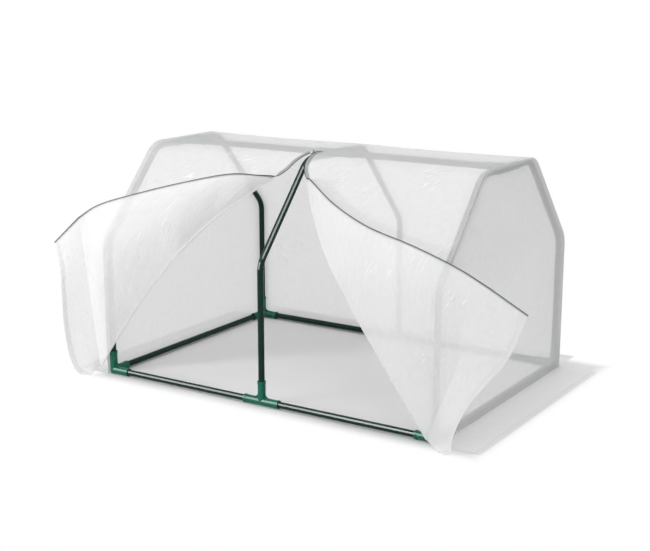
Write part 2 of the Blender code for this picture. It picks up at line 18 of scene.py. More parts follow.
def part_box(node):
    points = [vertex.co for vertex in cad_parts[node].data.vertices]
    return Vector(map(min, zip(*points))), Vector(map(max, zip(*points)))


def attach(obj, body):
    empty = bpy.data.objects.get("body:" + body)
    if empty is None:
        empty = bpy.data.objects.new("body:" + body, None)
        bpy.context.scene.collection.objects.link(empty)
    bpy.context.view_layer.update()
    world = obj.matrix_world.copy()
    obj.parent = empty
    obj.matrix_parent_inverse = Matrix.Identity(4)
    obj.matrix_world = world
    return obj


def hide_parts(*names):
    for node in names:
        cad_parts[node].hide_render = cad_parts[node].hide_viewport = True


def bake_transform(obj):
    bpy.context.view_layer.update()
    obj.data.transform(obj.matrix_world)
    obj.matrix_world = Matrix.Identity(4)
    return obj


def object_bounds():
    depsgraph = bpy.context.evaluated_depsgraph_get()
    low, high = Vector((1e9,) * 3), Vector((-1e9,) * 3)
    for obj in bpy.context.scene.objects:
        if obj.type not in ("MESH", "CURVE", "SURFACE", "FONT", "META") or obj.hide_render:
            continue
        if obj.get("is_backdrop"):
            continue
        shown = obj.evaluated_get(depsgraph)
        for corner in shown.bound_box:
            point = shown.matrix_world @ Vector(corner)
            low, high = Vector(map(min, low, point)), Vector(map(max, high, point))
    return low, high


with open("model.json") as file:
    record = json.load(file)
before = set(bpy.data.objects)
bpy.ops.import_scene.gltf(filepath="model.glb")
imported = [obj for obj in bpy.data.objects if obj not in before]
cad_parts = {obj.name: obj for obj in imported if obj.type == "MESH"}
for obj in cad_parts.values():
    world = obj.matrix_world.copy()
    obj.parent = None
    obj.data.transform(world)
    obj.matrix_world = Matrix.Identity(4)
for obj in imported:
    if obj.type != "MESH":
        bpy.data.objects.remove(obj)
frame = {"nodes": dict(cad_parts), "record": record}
CAD_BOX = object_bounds()
print("box of the solids", [tuple(round(v, 4) for v in corner) for corner in CAD_BOX])

# %% [markdown]
# ## Camera
# The picture was taken with a long lens, low and from the front right. A camera could be turned by hand until
# the lines agree, but a solved camera is exact: the frame's corners are known in metres, so the place, the
# two angles and the focal length follow from where they appear.

# %% Place the camera
CAMERA_PLACE = (1.6926, -2.7875, 1.0386)
CAMERA_AZIMUTH = radians(32.6)
CAMERA_DOWN = radians(13.376)
FOCAL_MM = 70.3
SENSOR_MM = 36.0


def add_object(name, data):
    obj = bpy.data.objects.new(name, data)
    bpy.context.scene.collection.objects.link(obj)
    return obj


level = cos(CAMERA_DOWN)
aim = Vector((-sin(CAMERA_AZIMUTH) * level, cos(CAMERA_AZIMUTH) * level, -sin(CAMERA_DOWN)))
lens = bpy.data.cameras.new("camera")
lens.lens = FOCAL_MM
lens.sensor_width = SENSOR_MM
camera = add_object("camera", lens)
camera.location = CAMERA_PLACE
camera.rotation_euler = aim.to_track_quat("-Z", "Y").to_euler()
bpy.context.scene.camera = camera
print("camera looks along", tuple(round(v, 3) for v in aim))

# %% [markdown]
# ## Light and floor
# The real picture is a studio cut-out: white all round, with soft light from the front and above. Soft lamps
# light the film, and the world fills the shadows. A glossy tube shows a lamp as a sharp line only where the
# lamp mirrors into the eye. Lamps put there would wash out the film, so two of them show in reflections
# alone, one for the base tubes and one for the slant of the middle hoop. The floor keeps the shade under the
# cover and beside it. Further out it turns plain white to the eye and in mirrors, so that it melts into the
# background while no extra light falls on the cloth.

# %% Light the scene
WHITE = (1.0, 1.0, 1.0, 1.0)
WORLD_FILL = 0.655
AIM_POINT = Vector((0.0, 0.0, 0.25))
LAMPS = {
    # name: (place, width, depth, power)
    "key_lamp": ((-1.6, -3.4, 2.1), 0.9, 0.9, 26.0),
    "low_lamp": ((-2.3, -3.2, 0.8), 0.7, 0.7, 40.0),
    "side_lamp": ((2.8, -2.6, 1.6), 0.9, 0.9, 10.0),
    "line_lamp": ((1.1, -1.52, 3.18), 0.9, 1.2, 90.0),
    "top_lamp": ((0.1, 0.2, 4.0), 1.4, 1.4, 28.0),
    "mirror_lamp": ((-2.1, -3.1, 2.0), 2.6, 0.8, 190.0),
}
ONLY_MIRRORED = ("line_lamp", "mirror_lamp")


def feed(tree, node, inputs):
    """Link the inputs of a node to sockets, or set them to plain values."""
    for slot, value in inputs.items():
        if isinstance(value, bpy.types.NodeSocket):
            tree.links.new(value, node.inputs[slot])
        else:
            node.inputs[slot].default_value = value


def add_node(tree, kind, inputs=None, **settings):
    node = tree.nodes.new(kind)
    for name, value in settings.items():
        setattr(node, name, value)
    feed(tree, node, inputs or {})
    return node


def math_node(tree, operation, *values, clamp=False):
    """What a Math node makes of sockets or plain numbers."""
    inputs = dict(enumerate(values))
    return add_node(tree, "ShaderNodeMath", inputs, operation=operation, use_clamp=clamp).outputs[0]


def seen_as_background(tree):
    """1 for rays that look at a surface straight, through a clear one or in a mirror, else 0."""
    path = add_node(tree, "ShaderNodeLightPath").outputs
    seen = math_node(tree, "MAXIMUM", path["Is Camera Ray"], path["Is Glossy Ray"])
    return math_node(tree, "MAXIMUM", seen, path["Is Transmission Ray"])


def show_mixed(tree, share, first, second, output="Material Output"):
    """Send two shaders to the surface, all of the first at share 0 and all of the second at 1."""
    mix = add_node(tree, "ShaderNodeMixShader", {"Fac": share, 1: first.outputs[0], 2: second.outputs[0]})
    feed(tree, tree.nodes[output], {"Surface": mix.outputs[0]})


def add_world():
    world = bpy.data.worlds.new("studio")
    bpy.context.scene.world = world
    world.use_nodes = True
    tree = world.node_tree
    fill = tree.nodes["Background"]
    feed(tree, fill, {"Strength": WORLD_FILL, "Color": WHITE})
    white = add_node(tree, "ShaderNodeBackground", {"Color": WHITE})
    show_mixed(tree, seen_as_background(tree), fill, white, "World Output")


def add_lamp(name, place, width, depth, power):
    """A flat lamp that faces the house, with its width along the house."""
    lamp = bpy.data.lights.new(name, "AREA")
    lamp.shape = "RECTANGLE"
    lamp.size, lamp.size_y = width, depth
    lamp.energy = power
    holder = add_object(name, lamp)
    place = Vector(place)
    back = (place - AIM_POINT).normalized()
    side = (Vector((1, 0, 0)) - back * back.x).normalized()
    turn = Matrix((side, back.cross(side), back)).transposed()
    holder.matrix_world = Matrix.Translation(place) @ turn.to_4x4()
    holder.visible_diffuse = name not in ONLY_MIRRORED


add_world()
for name, (place, width, depth, power) in LAMPS.items():
    add_lamp(name, place, width, depth, power)
bpy.context.scene.view_settings.view_transform = "Standard"

# %% Lay the floor
FLOOR_SIZE = 14.0
FLOOR_DROP = 0.0002
FLOOR_ROUGHNESS = 0.9
FLOOR_COLOUR = (0.62, 0.62, 0.62, 1.0)
FLOOR_PALE = (0.88, 0.88, 0.88, 1.0)
SHADE_REACH = (0.53, 0.375)
SHADE_FADE = 0.05


def mesh_object(name, points, faces, *finishes):
    mesh = bpy.data.meshes.new(name)
    mesh.from_pydata(points, [], faces)
    for finish in finishes:
        mesh.materials.append(finish)
    return add_object(name, mesh)


def new_material(name):
    made = bpy.data.materials.new(name)
    made.use_nodes = True
    return made, made.node_tree, made.node_tree.nodes["Principled BSDF"]


def mixed_colour(tree, share, first, second):
    inputs = {"A": first, "B": second, "Factor": share}
    return add_node(tree, "ShaderNodeMix", inputs, data_type="RGBA").outputs["Result"]


def open_floor(tree):
    """0 under the house and close beside it, 1 on the open floor."""
    place = add_node(tree, "ShaderNodeTexCoord").outputs["Object"]
    parts = add_node(tree, "ShaderNodeSeparateXYZ", {0: place})
    away = []
    for axis, reach in zip("XY", SHADE_REACH):
        across = math_node(tree, "ABSOLUTE", parts.outputs[axis])
        away.append(math_node(tree, "SUBTRACT", across, reach))
    inputs = {"Value": math_node(tree, "MAXIMUM", *away), "From Max": SHADE_FADE}
    return add_node(tree, "ShaderNodeMapRange", inputs, interpolation_type="SMOOTHSTEP").outputs["Result"]


def add_floor():
    finish, tree, shader = new_material("pale_floor")
    seen = seen_as_background(tree)
    tone = mixed_colour(tree, seen, FLOOR_COLOUR, FLOOR_PALE)
    feed(tree, shader, {"Base Color": tone, "Roughness": FLOOR_ROUGHNESS, "Specular IOR Level": 0.0})
    white = add_node(tree, "ShaderNodeEmission", {"Color": WHITE})
    show_mixed(tree, math_node(tree, "MULTIPLY", seen, open_floor(tree)), shader, white)
    half = FLOOR_SIZE / 2
    corners = [(-half, -half), (half, -half), (half, half), (-half, half)]
    points = [(x, y, -FLOOR_DROP) for x, y in corners]
    mesh_object("floor", points, [(0, 1, 2, 3)], finish)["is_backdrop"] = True


add_floor()
print("floor of", FLOOR_SIZE, "m")

# %% [markdown]
# ## Measures of the house
# Everything that follows hangs on the tube lines. Their places could be typed in, but reading them from the
# loaded nodes keeps the cloth on the frame if the frame is ever built in another size. Only the bends, which
# no box can tell, are written as values. They give one line round the outside of the hoops, and every sheet
# is laid by how far along that line its points are.

# %% Read the tube lines
KNEE_HEIGHT = 0.347
ROOF_WIDTH = 0.272
KNEE_RADIUS = 0.055
ROOF_RADIUS = 0.060
CLOTH_OFF = 0.0117
FILM = 0.0005


def middle(node):
    low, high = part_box(node)
    return (low + high) / 2


left_end, right_end = middle("base_tube_left_end"), middle("base_tube_right_end")
front_rail, rear_rail = middle("base_tube_front_left"), middle("base_tube_rear_left")
HOUSE = Vector(((left_end.x + right_end.x) / 2, (front_rail.y + rear_rail.y) / 2, 0))
FRAME_LENGTH = right_end.x - left_end.x
FRAME_WIDTH = rear_rail.y - front_rail.y
BASE_Z = front_rail.z
FRAME_HEIGHT = middle("ridge_tube_left").z - BASE_Z
RISE = FRAME_HEIGHT - KNEE_HEIGHT
RUN = (FRAME_WIDTH - ROOF_WIDTH) / 2
SLANT = hypot(RISE, RUN)
WALL_X = FRAME_LENGTH / 2 + CLOTH_OFF
SHEET_X = WALL_X - FILM
print(f"frame {FRAME_LENGTH:.3f} x {FRAME_WIDTH:.3f} x {FRAME_HEIGHT:.3f} m")

# %% Follow the cover's outline
BEND_STEPS = 10


def rounded_path(corners, radii):
    """Straight runs through the corners, with each inner corner rounded by an arc."""
    points = [Vector(corners[0])]
    for i, radius in enumerate(radii, start=1):
        corner = Vector(corners[i])
        back = (Vector(corners[i - 1]) - corner).normalized()
        ahead = (Vector(corners[i + 1]) - corner).normalized()
        half = back.angle(ahead) / 2
        centre = corner + (back + ahead).normalized() * radius / sin(half)
        start = corner + back * radius / tan(half) - centre
        axis = back.cross(ahead)
        for k in range(BEND_STEPS + 1):
            turn = Matrix.Rotation(-(pi - 2 * half) * k / BEND_STEPS, 3, axis)
            points.append(centre + turn @ start)
    points.append(Vector(corners[-1]))
    return points


def cover_line(offset):
    """The cover's outline across the house, from the front foot over the roof to the rear foot."""
    knee_y = FRAME_WIDTH / 2 + offset
    knee_z = BASE_Z + KNEE_HEIGHT + offset * (SLANT - RISE) / RUN
    roof_y = ROOF_WIDTH / 2 + offset * (SLANT - RUN) / RISE
    roof_z = BASE_Z + FRAME_HEIGHT + offset
    front = [(0, -knee_y, 0), (0, -knee_y, knee_z), (0, -roof_y, roof_z)]
    rear = [(0, -y, z) for _, y, z in reversed(front)]
    knee, roof = KNEE_RADIUS + offset, ROOF_RADIUS + offset
    return rounded_path(front + rear, [knee, roof, roof, knee])


COVER_LINE = cover_line(CLOTH_OFF)
MARKS = [0.0]
for before, after in zip(COVER_LINE, COVER_LINE[1:]):
    MARKS.append(MARKS[-1] + (after - before).length)
KNEE_S = (MARKS[1] + MARKS[1 + BEND_STEPS]) / 2
EDGE_S = MARKS[2 + 2 * BEND_STEPS]
COVER_S = MARKS[-1]


def on_cover(s, x=0.0, lift=0.0):
    """The point at distance s along the cover and at x, lifted off it, in the house's frame."""
    k = 0
    while k < len(MARKS) - 2 and s > MARKS[k + 1]:
        k += 1
    a, b = COVER_LINE[k], COVER_LINE[k + 1]
    along = (b - a).normalized()
    outward = Vector((0, -along.z, along.y))
    return a + along * (s - MARKS[k]) + outward * lift + Vector((x, 0, 0))


def outward_at(s):
    return (on_cover(s, lift=1.0) - on_cover(s)).normalized()


print(f"cloth round the outside {COVER_S:.3f} m, of which {EDGE_S:.3f} m up the front")

# %% [markdown]
# ## Finishes that several materials share
# The film, the zip tape and the coating all have fine relief. Drawing it once in a node group with named
# inputs keeps the materials short, and each material gives its own scale and depth. The groups read UV
# coordinates in metres or the object's own coordinates, so the pattern sticks to the cloth when a door moves.

# %% Node helpers


def new_group(name, inputs, outputs):
    """An empty shader group. An input without a number is a vector, and all outputs are numbers."""
    group = bpy.data.node_groups.new(name, "ShaderNodeTree")
    for label, value in inputs.items():
        kind = "NodeSocketVector" if value is None else "NodeSocketFloat"
        socket = group.interface.new_socket(label, in_out="INPUT", socket_type=kind)
        if value is not None:
            socket.default_value = value
    for label in outputs:
        group.interface.new_socket(label, in_out="OUTPUT", socket_type="NodeSocketFloat")
    return group, group.nodes.new("NodeGroupInput"), group.nodes.new("NodeGroupOutput")


def noise_node(tree, vector, scale, detail=2.0, roughness=0.5, distortion=0.0):
    labels = ("Vector", "Scale", "Detail", "Roughness", "Distortion")
    inputs = dict(zip(labels, (vector, scale, detail, roughness, distortion)))
    return add_node(tree, "ShaderNodeTexNoise", inputs).outputs["Fac"]


def stretched(tree, vector, scale):
    return add_node(tree, "ShaderNodeMapping", {"Vector": vector, "Scale": scale}).outputs["Vector"]


def above(tree, value, start, gain):
    """0 up to the start, and from there gain times the value's rise, up to 1."""
    return math_node(tree, "MULTIPLY", math_node(tree, "SUBTRACT", value, start), gain, clamp=True)


def bent_normal(tree, height, unit, strength=1.0):
    """The normal of a surface with this relief, whose heights count in units of so many metres."""
    inputs = {"Strength": strength, "Distance": unit, "Height": height}
    return add_node(tree, "ShaderNodeBump", inputs).outputs["Normal"]


print("node helpers ready")

# %% The film's crinkle and weave
WEAVE_PITCH = 0.0024
CRINKLE_PER_METRE = 115.0
CRINKLE_STRETCH = (1.0, 1.35, 1.0)
CREASE_STRETCH = (24.0, 120.0, 1.0)
CREASE_FROM, CREASE_GAIN = 0.58, 9.0
PATCHES_PER_METRE = 8.0
PATCH_FROM, PATCH_GAIN, PATCH_DEPTH = 0.53, 8.0, 0.4
CLOUDS_PER_METRE = 60.0


def film_relief_group():
    """Relief of woven film in millimetres: flat tapes, soft crinkle, and short sharp creases in patches.

    Cloudy is the uneven thickness of the film and Creased marks the creases, both from 0 to 1.
    """
    inputs = {"Vector": None, "Weave": 0.03, "Crinkle": 1.0, "Creases": 0.3, "Turn": 0.0, "Place": 0.0}
    group, enter, leave = new_group("film_relief", inputs, ("Height", "Cloudy", "Creased"))
    flat = enter.outputs["Vector"]
    parts = add_node(group, "ShaderNodeSeparateXYZ", {0: flat})
    waves = []
    for axis in "XY":
        angle = math_node(group, "MULTIPLY", parts.outputs[axis], pi / WEAVE_PITCH)
        waves.append(math_node(group, "SINE", angle))
    weave = math_node(group, "MULTIPLY", *waves)
    crinkle = noise_node(group, stretched(group, flat, CRINKLE_STRETCH), CRINKLE_PER_METRE, 3.0, 0.6, 0.5)
    inputs = {"Vector": flat, "Angle": enter.outputs["Turn"]}
    turned = add_node(group, "ShaderNodeVectorRotate", inputs, rotation_type="Z_AXIS").outputs["Vector"]
    streaks = noise_node(group, stretched(group, turned, CREASE_STRETCH), 1.0, 1.0, 0.5, 0.6)
    patches = above(group, noise_node(group, flat, PATCHES_PER_METRE, 1.0), PATCH_FROM, PATCH_GAIN)
    patches = math_node(group, "MULTIPLY", patches, PATCH_DEPTH)
    patches = math_node(group, "MAXIMUM", patches, enter.outputs["Place"])
    creases = math_node(group, "MULTIPLY", above(group, streaks, CREASE_FROM, CREASE_GAIN), patches)
    height = math_node(group, "MULTIPLY", weave, enter.outputs["Weave"])
    for relief, label in ((crinkle, "Crinkle"), (creases, "Creases")):
        height = math_node(group, "MULTIPLY_ADD", relief, enter.outputs[label], height)
    cloudy = noise_node(group, flat, CLOUDS_PER_METRE, 3.0)
    feed(group, leave, {"Height": height, "Cloudy": cloudy, "Creased": creases})
    return group


FILM_RELIEF = film_relief_group()
print("film relief group with", len(FILM_RELIEF.nodes), "nodes")

# %% The coating's orange peel and rubbed spots
SPOTS_PER_METRE = 35.0
SPOT_FROM, SPOT_GAIN = 0.5, 2.2


def coating_group():
    """Powder coat or moulded plastic: a soft orange peel, and a mask of rubbed and dusty places."""
    inputs = {"Vector": None, "Peel Scale": 700.0}
    group, enter, leave = new_group("coating", inputs, ("Height", "Rubbed"))
    place = enter.outputs["Vector"]
    peel = noise_node(group, place, enter.outputs["Peel Scale"], 1.0)
    spots = noise_node(group, place, SPOTS_PER_METRE, 5.0, 0.7)
    feed(group, leave, {"Height": peel, "Rubbed": above(group, spots, SPOT_FROM, SPOT_GAIN)})
    return group


COATING = coating_group()
print("coating group with", len(COATING.nodes), "nodes")

# %% [markdown]
# ## The film
# The cover is a thin woven film, white but not opaque. Seen from outside it does three things at once: it
# reflects most of the light, it lets a share glow through, and it shows a pale ghost of each tube behind it.
# Glass would bend the view and a plain alpha would look like smoke. So a Principled surface with a little
# Alpha is mixed with a Translucent shader, and both use the same relief.

# %% Make the film's material
FILM_WHITE = (0.92, 0.92, 0.92, 1.0)
FILM_GLOW = 0.16
FILM_ALPHA = 0.64
ALPHA_VARIES = 0.08
# How much more opaque, and so whiter, the film is on its creases: partly the real whitening of creased film,
# partly a painted glint.
CREASE_WHITENING_AND_GLINT = 0.40
FILM_ROUGHNESS = 0.36
ROUGHNESS_VARIES = 0.10
FILM_GLOSS = 0.04
MILLIMETRE = 0.001


def film_material(name, weave, crinkle, creases, turn, alpha=FILM_ALPHA, glow_share=FILM_GLOW):
    """Woven film. Weave, crinkle and creases are in millimetres, turn is the creases' way in degrees."""
    made, tree, shader = new_material(name)
    inputs = {
        "Vector": add_node(tree, "ShaderNodeUVMap", uv_map="flat_cloth").outputs["UV"],
        "Place": add_node(tree, "ShaderNodeAttribute", attribute_name="crease_place").outputs["Fac"],
        "Weave": weave, "Crinkle": crinkle, "Creases": creases, "Turn": -radians(turn),
    }
    relief = add_node(tree, "ShaderNodeGroup", inputs, node_tree=FILM_RELIEF).outputs
    cloudy = math_node(tree, "SUBTRACT", relief["Cloudy"], 0.5)
    solid = math_node(tree, "MULTIPLY_ADD", cloudy, ALPHA_VARIES, alpha)
    # The creases make the film whiter: partly the real whitening of creased film, partly a painted glint
    # along them.
    solid = math_node(tree, "MULTIPLY_ADD", relief["Creased"], CREASE_WHITENING_AND_GLINT * min(creases, 1.0), solid)
    rough = math_node(tree, "MULTIPLY_ADD", cloudy, ROUGHNESS_VARIES, FILM_ROUGHNESS)
    normal = bent_normal(tree, relief["Height"], MILLIMETRE)
    feed(tree, shader, {"Base Color": FILM_WHITE, "Specular IOR Level": FILM_GLOSS, "Roughness": rough})
    feed(tree, shader, {"Alpha": math_node(tree, "MINIMUM", solid, 1.0), "Normal": normal})
    glow = add_node(tree, "ShaderNodeBsdfTranslucent", {"Color": FILM_WHITE, "Normal": normal})
    show_mixed(tree, glow_share, shader, glow)
    return made


FILM_TIGHT = film_material("film_over_the_hoops", 0.03, 1.5, 1.2, 38)
FILM_WALL = film_material("film_of_the_end_walls", 0.03, 0.4, 0.0, 38)
FILM_DOOR = film_material("film_of_the_doors", 0.03, 1.5, 1.2, -17)
# A lighter copy of the film for the skirts: nearly opaque and barely translucent, so the strips read
# brighter. This lightening is painted light.
FILM_GROUND_PAINTED_LIGHTER = film_material("film_on_the_ground_painted_lighter", 0.01, 0.15, 0.0, 38, alpha=0.98, glow_share=0.05)
print("film lets straight through", round((1 - FILM_GLOW) * (1 - FILM_ALPHA), 3))

# %% [markdown]
# ## Coated tube, moulded plastic and the zip's metal
# The tube has a dark green glossy coat, which shows as near black with a sharp white line. The fittings are a
# lighter, softer green. Both keep the frame's own solids, so only their materials change, and the fittings
# get a fine bevel, because moulded edges are never sharp. Full gloss would lay the white of the studio over
# the green, so the gloss is low and the sharp line is left to its own lamp.

# %% Make the hard finishes
TUBE_GREEN = (0.003, 0.025, 0.018)
TUBE_RUBBED = (0.008, 0.040, 0.031)
FITTING_GREEN = (0.012, 0.128, 0.082)
FITTING_RUBBED = (0.028, 0.185, 0.130)
TAPE_GREY = (0.33, 0.35, 0.34)
TAPE_PALE = (0.46, 0.48, 0.47)
TEETH_GREEN = (0.010, 0.026, 0.021)
METAL_GREY = (0.34, 0.36, 0.35)
COAT_GLOSS = 0.16
RUBBED_ROUGHER = 0.12
PEEL_STRENGTH = 0.6


def hard_material(name, colour, rubbed, roughness, peel_scale, depth, metallic=0.0):
    """A coated, moulded or metal finish. Peel scale is bumps per metre, and depth is in metres."""
    made, tree, shader = new_material(name)
    place = add_node(tree, "ShaderNodeTexCoord").outputs["Object"]
    inputs = {"Vector": place, "Peel Scale": peel_scale}
    coating = add_node(tree, "ShaderNodeGroup", inputs, node_tree=COATING).outputs
    tint = mixed_colour(tree, coating["Rubbed"], (*colour, 1.0), (*rubbed, 1.0))
    rough = math_node(tree, "MULTIPLY_ADD", coating["Rubbed"], RUBBED_ROUGHER, roughness)
    normal = bent_normal(tree, coating["Height"], depth, PEEL_STRENGTH)
    feed(tree, shader, {"Base Color": tint, "Roughness": rough, "Normal": normal})
    feed(tree, shader, {"Metallic": metallic, "Specular IOR Level": COAT_GLOSS})
    return made


STEEL = hard_material("green_coated_steel", TUBE_GREEN, TUBE_RUBBED, 0.14, 700.0, 0.00003)
PLASTIC = hard_material("green_plastic", FITTING_GREEN, FITTING_RUBBED, 0.26, 900.0, 0.00006)
TEETH = hard_material("zip_teeth", TEETH_GREEN, TUBE_RUBBED, 0.4, 1500.0, 0.00004)
ZIP_METAL = hard_material("zip_metal", METAL_GREY, METAL_GREY, 0.30, 1500.0, 0.00003, metallic=0.95)
TAPE = hard_material("zip_tape", TAPE_GREY, TAPE_PALE, 0.75, 1800.0, 0.0002)

FINISH_OF = {"steel": STEEL, "plastic": PLASTIC, "zip_metal": ZIP_METAL}
EDGE_ROUND = 0.0005
EDGE_ANGLE = radians(40)


def round_edges(node):
    bevel = node.modifiers.new("moulded_edges", "BEVEL")
    bevel.width = EDGE_ROUND
    bevel.segments = 2
    bevel.limit_method = "ANGLE"
    bevel.angle_limit = EDGE_ANGLE


hard_parts = [part for part in frame["record"]["subparts"] if part["material_slot"] in FINISH_OF]
for part in hard_parts:
    node = frame["nodes"][part["node"]]
    for slot in node.material_slots:
        slot.link = "OBJECT"
        slot.material = FINISH_OF[part["material_slot"]]
    if part["material_slot"] == "plastic":
        round_edges(node)
print("finished", len(hard_parts), "hard nodes")

# %% [markdown]
# ## A sheet from a grid
# Every cloth piece is a grid of points laid over the frame. Sculpting each one would be hard to repeat, and a
# cloth simulation would lose the outline seen in the picture. A grid written as rows keeps the cut of the
# cloth: the distances along the rows become the flat UV map, counted towards +X so that the creases lie the
# same way on every piece. Small folds are added along the normals. Real creases gather where the cloth is
# pulled, so those places are marked on the points of the mesh and the material draws the creases there.

# %% Sheet helpers
CREASE_REACH = 0.028
WAVES_PER_METRE = 9.0
FOLDS_PER_METRE = (42.0, 30.0)
FOLD_SEED = 5.0


def fractions(start, end, steps):
    return [start + (end - start) * k / steps for k in range(steps + 1)]


def smooth_step(value):
    value = min(max(value, 0.0), 1.0)
    return value * value * (3 - 2 * value)


def flat_sizes(rows):
    """The place of each point on the flat cloth in metres, along its row towards +X and across the rows."""
    way = 1 if rows[0][-1].x >= rows[0][0].x else -1
    flat, up = [], [0.0] * len(rows[0])
    for i, row in enumerate(rows):
        if i:
            up = [height + (row[k] - rows[i - 1][k]).length for k, height in enumerate(up)]
        run = 0.0
        for k, point in enumerate(row):
            if k:
                run += (point - row[k - 1]).length
            flat.append((way * run, up[k]))
    return flat


def cloth_object(name, rows, finish):
    """A single layer of cloth through the rows of points, with its flat sizes as UV coordinates."""
    columns = len(rows[0])
    starts = [i * columns + k for i in range(len(rows) - 1) for k in range(columns - 1)]
    faces = [(a, a + 1, a + columns + 1, a + columns) for a in starts]
    cloth = mesh_object(name, [HOUSE + point for row in rows for point in row], faces, finish)
    cloth.data.shade_smooth()
    flat = flat_sizes(rows)
    layer = cloth.data.uv_layers.new(name="flat_cloth")
    for loop in cloth.data.loops:
        layer.data[loop.index].uv = flat[loop.vertex_index]
    return cloth


def ruffle(cloth, rows, seed, soft, fine, hold):
    """Move the points along their normals: broad soft waves and fine folds, held still near chosen edges."""
    columns = len(rows[0])
    normals = [vertex.normal.copy() for vertex in cloth.data.vertices]
    for i, (vertex, (u, v)) in enumerate(zip(cloth.data.vertices, flat_sizes(rows))):
        wave = noise.noise(Vector((u * WAVES_PER_METRE, v * WAVES_PER_METRE, seed)))
        fold = noise.noise(Vector((u * FOLDS_PER_METRE[0], v * FOLDS_PER_METRE[1], seed + FOLD_SEED)))
        vertex.co += normals[i] * (soft * wave + fine * fold) * hold(i // columns, i % columns)


def mark_creases(cloth, places):
    """Mark where the cloth is pulled into short sharp creases, for its material to draw."""
    marks = cloth.data.attributes.new("crease_place", "FLOAT", "POINT")
    for vertex, mark in zip(cloth.data.vertices, marks.data):
        away = min((vertex.co - HOUSE - place).length for place in places)
        mark.value = exp(-((away / CREASE_REACH) ** 2))


def band_between(name, near, far, lift, finish):
    """A narrow band of doubled film between two lines on a sheet, lifted off it."""
    return cloth_object(name, [[point + lift for point in near], [point + lift for point in far]], finish)


print("cloth helpers ready")

# %% Stitches
STITCH_LENGTH = 0.0030
STITCH_PITCH = 0.0042
STITCH_WIDTH = 0.0006
STITCH_HEIGHT = 0.0005
STITCH_SHAPE = ((0.0, 0.0), (0.25, 1.0), (0.75, 1.0), (1.0, 0.0))
THREAD = hard_material("thread", (0.62, 0.64, 0.63), (0.72, 0.74, 0.73), 0.6, 2500.0, 0.00005)


def resampled(line, step):
    """Pairs of point and direction at an even spacing along a line of such pairs."""
    lengths = [(b[0] - a[0]).length for a, b in zip(line, line[1:])]
    count = max(2, round(sum(lengths) / step))
    found, k, passed = [], 0, 0.0
    for n in range(count + 1):
        want = sum(lengths) * n / count
        while k < len(lengths) - 1 and passed + lengths[k] < want:
            passed += lengths[k]
            k += 1
        share = (want - passed) / max(lengths[k], 1e-9)
        found.append(tuple(a.lerp(b, share) for a, b in zip(line[k], line[k + 1])))
    return found


def stitch_row(name, line):
    """Rounded stitches along a line of pairs: a point on the cloth and the way out of it."""
    line = resampled(line, STITCH_PITCH)
    points, faces = [], []
    for (a, up), (b, _) in zip(line, line[1:]):
        along = (b - a).normalized()
        across = along.cross(up).normalized() * STITCH_WIDTH / 2
        lift = up.normalized() * STITCH_HEIGHT
        first = len(points)
        for share, height in STITCH_SHAPE:
            place = a + along * (STITCH_LENGTH * share) + lift * height
            points += [place - across, place + across]
        faces += [tuple(first + 2 * k + n for n in (0, 1, 3, 2)) for k in range(3)]
    return mesh_object(name, [HOUSE + p for p in points], faces, THREAD)


print("a stitch every", STITCH_PITCH * 1000, "mm")

# %% [markdown]
# ## Roof and rear
# One piece of film runs from the top of the front zip over the flat roof and down the back to the ground. It
# is drawn tight over the three hoops. Between them it sags by a plain formula, most half way and less on the
# upright part.

# %% Lay the roof and rear sheet
SAG = 0.0024
SAG_UPRIGHT = 0.4
KNEE_SETTLE = 0.009
KNEE_SPREAD = 0.062
SHEET_STEP = 0.006
HOLD_REACH = 4


def bay_sag(x):
    """0 at a hoop, 1 half way between two hoops."""
    half = FRAME_LENGTH / 2
    return sin(pi * min(abs(x), half) / half)


def settle(s, x):
    """How far the cloth has settled inwards: a little in each bay, and more where it cuts the knee."""
    from_knee = min(abs(s - KNEE_S), abs(COVER_S - s - KNEE_S)) / KNEE_SPREAD
    flatness = SAG_UPRIGHT + (1 - SAG_UPRIGHT) * abs(outward_at(s).z)
    return bay_sag(x) * (SAG * flatness + KNEE_SETTLE * exp(-from_knee * from_knee))


def hold_edges(rows):
    """Still at the edges of the grid, free a few steps in from them."""
    last_row, last_column = len(rows) - 1, len(rows[0]) - 1
    return lambda i, k: smooth_step(min(i, last_row - i, k, last_column - k) / HOLD_REACH)


def roof_rows():
    ways = fractions(EDGE_S + FILM, COVER_S - FILM, round((COVER_S - EDGE_S) / SHEET_STEP))
    places = fractions(-SHEET_X, SHEET_X, round(2 * SHEET_X / SHEET_STEP))
    return [[on_cover(s, x, -settle(s, x)) for x in places] for s in ways]


rows = roof_rows()
roof = cloth_object("roof_and_rear_film", rows, FILM_TIGHT)
ruffle(roof, rows, seed=1.0, soft=0.0007, fine=0.0005, hold=hold_edges(rows))
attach(roof, "house")
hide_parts("roof_and_rear_sheet")
print("roof and rear", len(rows), "x", len(rows[0]), "points")

# %% [markdown]
# ## End walls
# Each end is one flat panel with the outline of the house, sewn to the roof sheet along its curved edge. Its
# rows run level from the front edge to the rear edge, so that the outline stays exact, and the middle bows
# inwards a few millimetres. A stitched band of the same film binds each edge.

# %% Hang the end walls
SIDES = {"left": -1, "right": 1}
WALL_BOW = 0.003
FOOT_CLEAR = 0.001


def wall_rows(side):
    rows = []
    for s in fractions(FOOT_CLEAR, EDGE_S, round(EDGE_S / SHEET_STEP)):
        edge = on_cover(s, lift=FILM)
        row = []
        for u in fractions(-1, 1, round(FRAME_WIDTH / SHEET_STEP)):
            bow = WALL_BOW * (1 - u * u) * sin(pi * s / EDGE_S)
            row.append(Vector((side * (WALL_X - bow), edge.y * -u, edge.z)))
        rows.append(row)
    return rows


